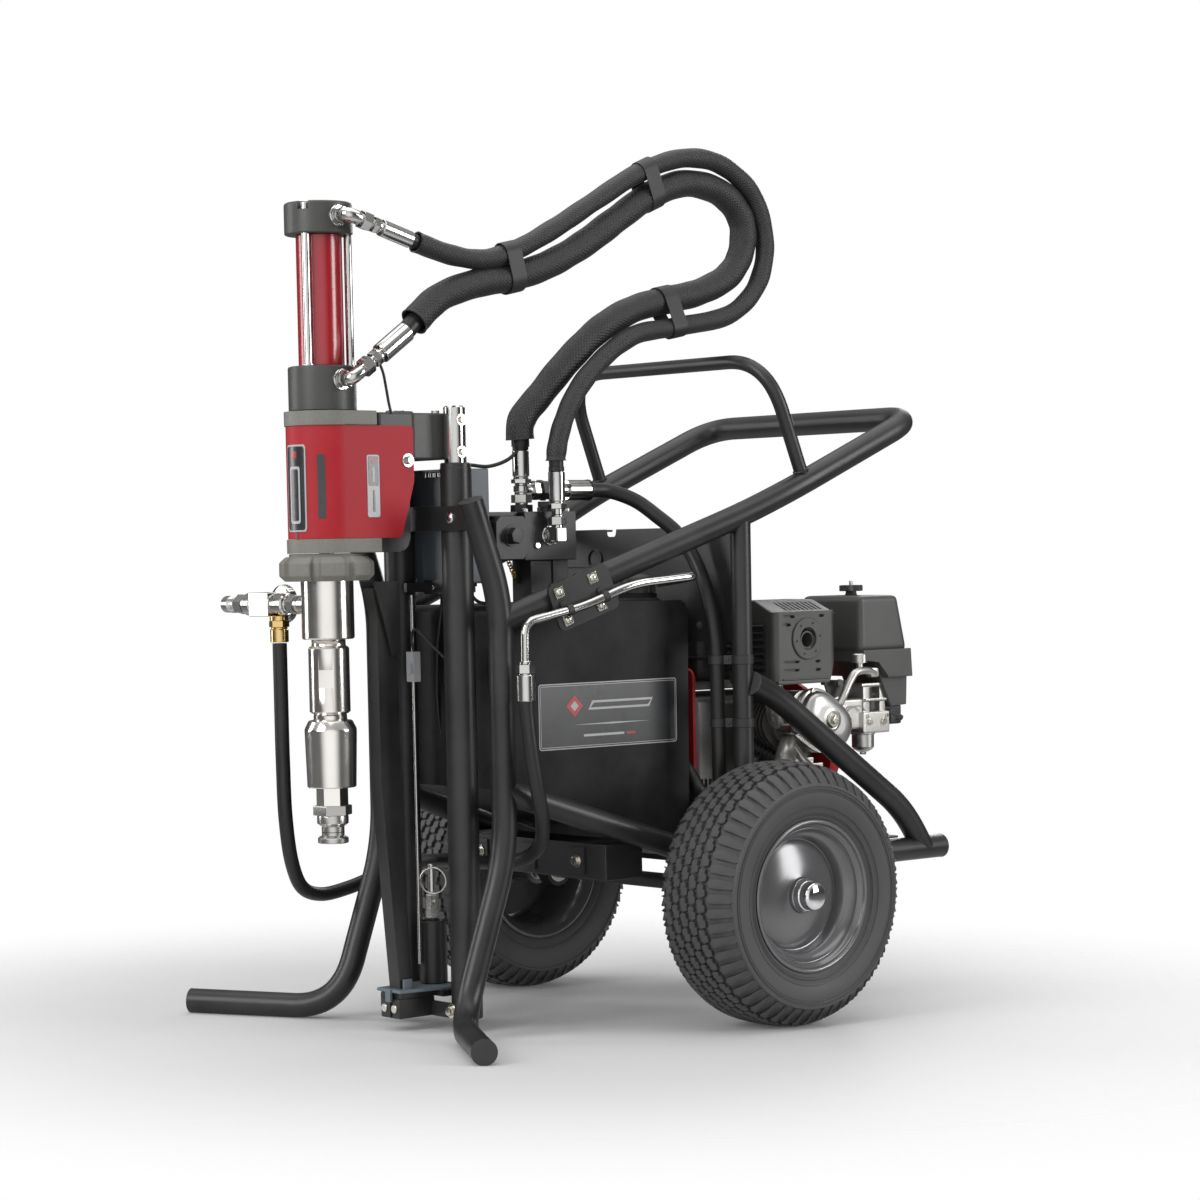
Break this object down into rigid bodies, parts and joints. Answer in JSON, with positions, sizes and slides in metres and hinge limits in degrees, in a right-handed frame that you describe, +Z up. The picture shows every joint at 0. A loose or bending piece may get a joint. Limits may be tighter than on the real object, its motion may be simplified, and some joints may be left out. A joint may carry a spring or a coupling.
{
  "type": "airless paint sprayer",
  "caption": "Wheeled petrol hydraulic airless paint sprayer: vertical pump on a sliding mast, tube cart, oil tank, engine and looped hoses.",
  "frame": {"origin": "on the floor, under the middle of the rigid pieces", "axes": "+Z up, -Y towards the pump, +Y towards the engine and push handle, +X towards the right-hand wheel seen from behind"},
  "size_m": [0.81, 1.1538, 1.3707],
  "materials": {
    "powder_coat": "semi-gloss black powder coat",
    "chrome": "polished nickel and chrome plate",
    "casting_grey": "warm grey paint on a casting",
    "casting_dark": "dark grey satin paint",
    "paint_red": "satin red paint",
    "tyre_rubber": "moulded black rubber",
    "rim_paint": "gloss dark grey paint",
    "hose_sleeve": "black braided sleeve",
    "hose_rubber": "smooth black hose cover",
    "black_plastic": "moulded black plastic",
    "box_grey": "blue-grey box",
    "engine_metal": "bare cast aluminium",
    "muffler_black": "heat-resistant black sheet",
    "engine_red": "red fan cover"
  },
  "bodies": {
    "root": {"leg_right": "powder_coat", "rail_right": "powder_coat", "rear_post_right": "powder_coat", "rear_brace_right": "powder_coat", "guide_post_right": "powder_coat", "leg_left": "powder_coat", "rail_left": "powder_coat", "rear_post_left": "powder_coat", "rear_brace_left": "powder_coat", "guide_post_left": "powder_coat", "handle_frame": "powder_coat", "hose_hoop": "powder_coat", "engine_deck": "powder_coat", "tank_cross_member": "powder_coat", "firewall_panel": "powder_coat", "mast_cross_plate": "powder_coat", "mast_base": "powder_coat", "mast_beam": "powder_coat", "damper_cylinder": "powder_coat", "axle": "chrome", "oil_tank": "black_plastic", "manifold_block": "casting_dark", "control_box": "box_grey", "pipe_clamp": "powder_coat", "outlet_pipe": "chrome", "hydraulic_pump": "casting_dark", "engine_block": "engine_metal", "muffler": "muffler_black", "air_cleaner": "black_plastic", "fuel_tank": "black_plastic", "recoil_starter": "engine_red", "pressure_hose": "hose_sleeve", "return_hose": "hose_sleeve", "bypass_hose": "hose_rubber", "tank_hose": "hose_rubber"},
    "wheel_right": {"tyre_right": "tyre_rubber", "rim_right": "rim_paint"},
    "wheel_left": {"tyre_left": "tyre_rubber", "rim_left": "rim_paint"},
    "carriage": {"slider_post_right": "chrome", "slider_post_left": "chrome", "motor_cap": "casting_dark", "motor_barrel": "paint_red", "motor_base": "casting_dark", "yoke_casting": "casting_grey", "yoke_cover": "paint_red", "carriage_arm": "casting_dark", "castle_nut": "casting_grey", "fluid_section": "chrome", "outlet_valve": "chrome", "motor_elbow_upper": "chrome", "motor_elbow_lower": "chrome"},
    "piston": {"piston_rod": "chrome"},
    "valve_knob": {"outlet_valve_knob": "chrome"},
    "pressure_dial": {"pressure_knob": "casting_dark"},
    "oil_cap": {"tank_cap": "black_plastic"},
    "petrol_cap": {"fuel_cap": "black_plastic"},
    "filter_knob": {"air_cleaner_knob": "black_plastic"},
    "crank": {"drive_coupling": "engine_metal"},
    "starter": {"starter_handle": "black_plastic"}
  },
  "joints": [
    {"name": "wheel_right_spin", "type": "hinge", "parent": "root", "child": "wheel_right", "pos_m": [0.326, 0.11644, 0.20294], "axis": [1, 0, 0], "continuous": true},
    {"name": "wheel_left_spin", "type": "hinge", "parent": "root", "child": "wheel_left", "pos_m": [-0.326, 0.11644, 0.20294], "axis": [1, 0, 0], "continuous": true},
    {"name": "mast_lift", "type": "slide", "parent": "root", "child": "carriage", "axis": [0, -0.025, 0.9997], "range_m": [0, 0.25], "deforming": ["pressure_hose", "return_hose", "bypass_hose"]},
    {"name": "piston_stroke", "type": "slide", "parent": "carriage", "child": "piston", "axis": [0, -0.025, 0.9997], "range_m": [0, 0.1]},
    {"name": "outlet_valve_turn", "type": "hinge", "parent": "carriage", "child": "valve_knob", "pos_m": [-0.15, -0.47988, 0.64817], "axis": [0, 0.9997, 0.025], "range_deg": [0, 90]},
    {"name": "pressure_knob_turn", "type": "hinge", "parent": "root", "child": "pressure_dial", "pos_m": [0.08, -0.21738, 0.75177], "axis": [1, 0, 0], "range_deg": [0, 270]},
    {"name": "oil_cap_turn", "type": "hinge", "parent": "root", "child": "oil_cap", "pos_m": [0.07, 0.04488, 0.6643], "axis": [0, -0.025, 0.9997], "range_deg": [0, 120]},
    {"name": "fuel_cap_turn", "type": "hinge", "parent": "root", "child": "petrol_cap", "pos_m": [-0.065, 0.30565, 0.63681], "axis": [0, -0.025, 0.9997], "range_deg": [0, 90]},
    {"name": "filter_knob_turn", "type": "hinge", "parent": "root", "child": "filter_knob", "pos_m": [0.12, 0.46993, 0.66792], "axis": [0, -0.025, 0.9997], "range_deg": [0, 360]},
    {"name": "crank_spin", "type": "hinge", "parent": "root", "child": "crank", "pos_m": [-0.02, 0.15168, 0.39388], "axis": [0, 0.9997, 0.025], "continuous": true},
    {"name": "starter_pull", "type": "slide", "parent": "root", "child": "starter", "axis": [0, 0.9997, 0.025], "range_m": [0, 0.06], "stiffness_N_per_m": 60, "springref_m": -0.01}
  ]
}
